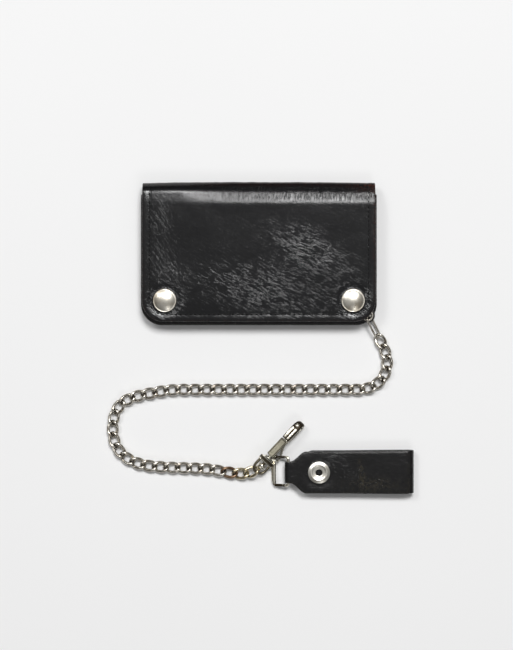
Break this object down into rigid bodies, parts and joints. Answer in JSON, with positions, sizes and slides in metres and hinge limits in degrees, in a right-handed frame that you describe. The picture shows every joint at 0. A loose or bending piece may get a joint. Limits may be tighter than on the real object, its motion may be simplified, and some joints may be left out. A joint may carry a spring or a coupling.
{
  "type": "chain wallet",
  "caption": "Flap wallet with two snaps, a curb chain, a swivel clasp and a snap-shut leather belt strap.",
  "frame": {"origin": "centre of the wallet's flat back face, which it rests on", "axes": "+Z out of the flap, +Y towards the fold, +X to the right seen from the flap; the chain and strap lie on the Y-negative side in the same rest plane"},
  "size_m": [0.1962, 0.1984, 0.016],
  "materials": {
    "outer_leather": "semi-gloss, creased black",
    "lining_leather": "matte black",
    "thread": "waxed black",
    "zip_tape": "woven",
    "zip_metal": "aged",
    "snap_nickel": "worn nickel plate",
    "chain_nickel": "worn nickel plate",
    "clasp_nickel": "worn nickel plate"
  },
  "bodies": {
    "wallet_back": {"back_panel": "outer_leather", "back_lining": "lining_leather", "edge_welt": "outer_leather", "inner_panel": "lining_leather", "coin_gusset": "lining_leather", "coin_front": "outer_leather", "zip_tapes": "zip_tape", "zip_teeth": "zip_metal", "zip_stops": "zip_metal", "card_pocket_back": "lining_leather", "card_pocket_middle": "lining_leather", "card_pocket_front": "lining_leather", "snap_studs": "snap_nickel", "ring_tab": "outer_leather", "ring_eyelet": "snap_nickel", "body_stitching": "thread"},
    "zip_slider": {"zip_slider": "zip_metal"},
    "zip_pull": {"zip_pull": "zip_metal"},
    "spine": {"spine_leather": "outer_leather"},
    "flap": {"flap_cover": "outer_leather", "flap_lining": "lining_leather", "flap_pocket": "lining_leather", "snap_cap_left": "snap_nickel", "snap_cap_right": "snap_nickel", "snap_sockets": "snap_nickel", "flap_stitching": "thread"},
    "wallet_ring": {"wallet_ring": "chain_nickel"},
    "links_01": {"chain_01": "chain_nickel"},
    "links_02": {"chain_02": "chain_nickel"},
    "links_03": {"chain_03": "chain_nickel"},
    "links_04": {"chain_04": "chain_nickel"},
    "links_05": {"chain_05": "chain_nickel"},
    "links_06": {"chain_06": "chain_nickel"},
    "links_07": {"chain_07": "chain_nickel"},
    "links_08": {"chain_08": "chain_nickel"},
    "links_09": {"chain_09": "chain_nickel"},
    "links_10": {"chain_10": "chain_nickel"},
    "links_11": {"chain_11": "chain_nickel"},
    "links_12": {"chain_12": "chain_nickel"},
    "links_13": {"chain_13": "chain_nickel"},
    "links_14": {"chain_14": "chain_nickel"},
    "links_15": {"chain_15": "chain_nickel"},
    "eye": {"swivel_eye": "chain_nickel"},
    "clasp": {"clasp_hook": "clasp_nickel", "gate_pin": "clasp_nickel", "gate_spring": "clasp_nickel"},
    "gate": {"clasp_gate": "clasp_nickel"},
    "strap_ring": {"strap_ring": "chain_nickel"},
    "strap": {"strap_leather": "outer_leather", "strap_return": "outer_leather", "strap_fold": "outer_leather", "strap_snap_ring": "snap_nickel", "strap_socket": "snap_nickel"},
    "strap_tail": {"strap_tail": "outer_leather", "strap_stud": "snap_nickel", "strap_cap": "snap_nickel"}
  },
  "joints": [
    {"name": "crease_back", "type": "hinge", "parent": "wallet_back", "child": "spine", "pos_m": [0, 0.04341, 0.00209], "axis": [1, 0, 0], "range_deg": [-90, 0], "deforming": ["spine_leather"]},
    {"name": "crease_flap", "type": "hinge", "parent": "spine", "child": "flap", "pos_m": [0, 0.04341, 0.01191], "axis": [1, 0, 0], "range_deg": [-90, 0]},
    {"name": "zip_slide", "type": "slide", "parent": "wallet_back", "child": "zip_slider", "axis": [1, 0, 0], "range_m": [-0.094, 0]},
    {"name": "pull_swing", "type": "hinge", "parent": "zip_slider", "child": "zip_pull", "pos_m": [0.047, 0.023, 0.0099], "axis": [0, 0, 1], "range_deg": [-30, 30]},
    {"name": "ring_swing", "type": "hinge", "parent": "wallet_back", "child": "wallet_ring", "pos_m": [0.0694, -0.0394, 0.0058], "axis": [0, 0, 1], "range_deg": [-12, 12]},
    {"name": "chain_lift_01", "type": "hinge", "parent": "wallet_ring", "child": "links_01", "pos_m": [0.0762, -0.0526, 0.0033], "axis": [-0.8829, -0.4695, 0], "range_deg": [0, 15]},
    {"name": "chain_bend_02", "type": "hinge", "parent": "links_01", "child": "links_02", "pos_m": [0.08216, -0.07337, 0.0023], "axis": [0, 0, -1], "range_deg": [-15, 6]},
    {"name": "chain_bend_03", "type": "hinge", "parent": "links_02", "child": "links_03", "pos_m": [0.06626, -0.08671, 0.0023], "axis": [0, 0, 1], "range_deg": [-9, 15]},
    {"name": "chain_bend_04", "type": "hinge", "parent": "links_03", "child": "links_04", "pos_m": [0.04412, -0.08671, 0.0023], "axis": [0, 0, -1], "range_deg": [-15, 10]},
    {"name": "chain_lift_05", "type": "hinge", "parent": "links_04", "child": "links_05", "pos_m": [0.02198, -0.08671, 0.0023], "axis": [0, 1, 0], "range_deg": [-8, 10]},
    {"name": "chain_bend_06", "type": "hinge", "parent": "links_05", "child": "links_06", "pos_m": [-0.00016, -0.08671, 0.0023], "axis": [0, 0, -1], "range_deg": [-15, 15]},
    {"name": "chain_bend_07", "type": "hinge", "parent": "links_06", "child": "links_07", "pos_m": [-0.0223, -0.08671, 0.0023], "axis": [0, 0, 1], "range_deg": [-15, 8]},
    {"name": "chain_bend_08", "type": "hinge", "parent": "links_07", "child": "links_08", "pos_m": [-0.04444, -0.08671, 0.0023], "axis": [0, 0, -1], "range_deg": [-6, 15]},
    {"name": "chain_lift_09", "type": "hinge", "parent": "links_08", "child": "links_09", "pos_m": [-0.06645, -0.08851, 0.0023], "axis": [-0.1736, 0.9848, 0], "range_deg": [-8, 10]},
    {"name": "chain_bend_10", "type": "hinge", "parent": "links_09", "child": "links_10", "pos_m": [-0.08754, -0.09482, 0.0023], "axis": [0, 0, -1], "range_deg": [-3, 15]},
    {"name": "chain_bend_11", "type": "hinge", "parent": "links_10", "child": "links_11", "pos_m": [-0.09341, -0.11539, 0.0023], "axis": [0, 0, 1], "range_deg": [-15, 3]},
    {"name": "chain_bend_12", "type": "hinge", "parent": "links_11", "child": "links_12", "pos_m": [-0.08108, -0.13258, 0.0023], "axis": [0, 0, -1], "range_deg": [-3, 15]},
    {"name": "chain_lift_13", "type": "hinge", "parent": "links_12", "child": "links_13", "pos_m": [-0.05939, -0.1364, 0.0023], "axis": [-0.0349, -0.9994, 0], "range_deg": [-8, 10]},
    {"name": "chain_bend_14", "type": "hinge", "parent": "links_13", "child": "links_14", "pos_m": [-0.03726, -0.13718, 0.0023], "axis": [0, 0, -1], "range_deg": [-8, 15]},
    {"name": "chain_bend_15", "type": "hinge", "parent": "links_14", "child": "links_15", "pos_m": [-0.01538, -0.14038, 0.0023], "axis": [0, 0, 1], "range_deg": [-15, 10]},
    {"name": "eye_swing", "type": "hinge", "parent": "links_15", "child": "eye", "pos_m": [-0.00132, -0.13794, 0.00498], "axis": [0, 0, -1], "range_deg": [0, 15]},
    {"name": "swivel_turn", "type": "hinge", "parent": "eye", "child": "clasp", "pos_m": [0.0052, -0.1317, 0.0048], "axis": [0.682, 0.7314, 0], "range_deg": [-150, 150]},
    {"name": "gate_press", "type": "hinge", "parent": "clasp", "child": "gate", "pos_m": [0.0086, -0.12776, 0.00536], "axis": [-0.6872, 0.6409, -0.342], "range_deg": [0, 18], "stiffness_Nm_per_rad": 0.01, "springref_deg": -5.73, "deforming": ["gate_spring"]},
    {"name": "strap_ring_swing", "type": "hinge", "parent": "clasp", "child": "strap_ring", "pos_m": [0.0106, -0.1298, 0.0022], "axis": [0, 0, 1], "range_deg": [-4, 10]},
    {"name": "strap_hinge", "type": "hinge", "parent": "strap_ring", "child": "strap", "pos_m": [0.01875, -0.1394, 0.00561], "axis": [0, 1, 0], "range_deg": [-25, 25]},
    {"name": "strap_open", "type": "hinge", "parent": "strap", "child": "strap_tail", "pos_m": [0.09545, -0.1394, 0.00455], "axis": [0, 1, 0], "range_deg": [-120, 0], "deforming": ["strap_fold"]}
  ],
  "couplings": [
    {"joint": "crease_flap", "follows": "crease_back", "ratio": 1}
  ]
}
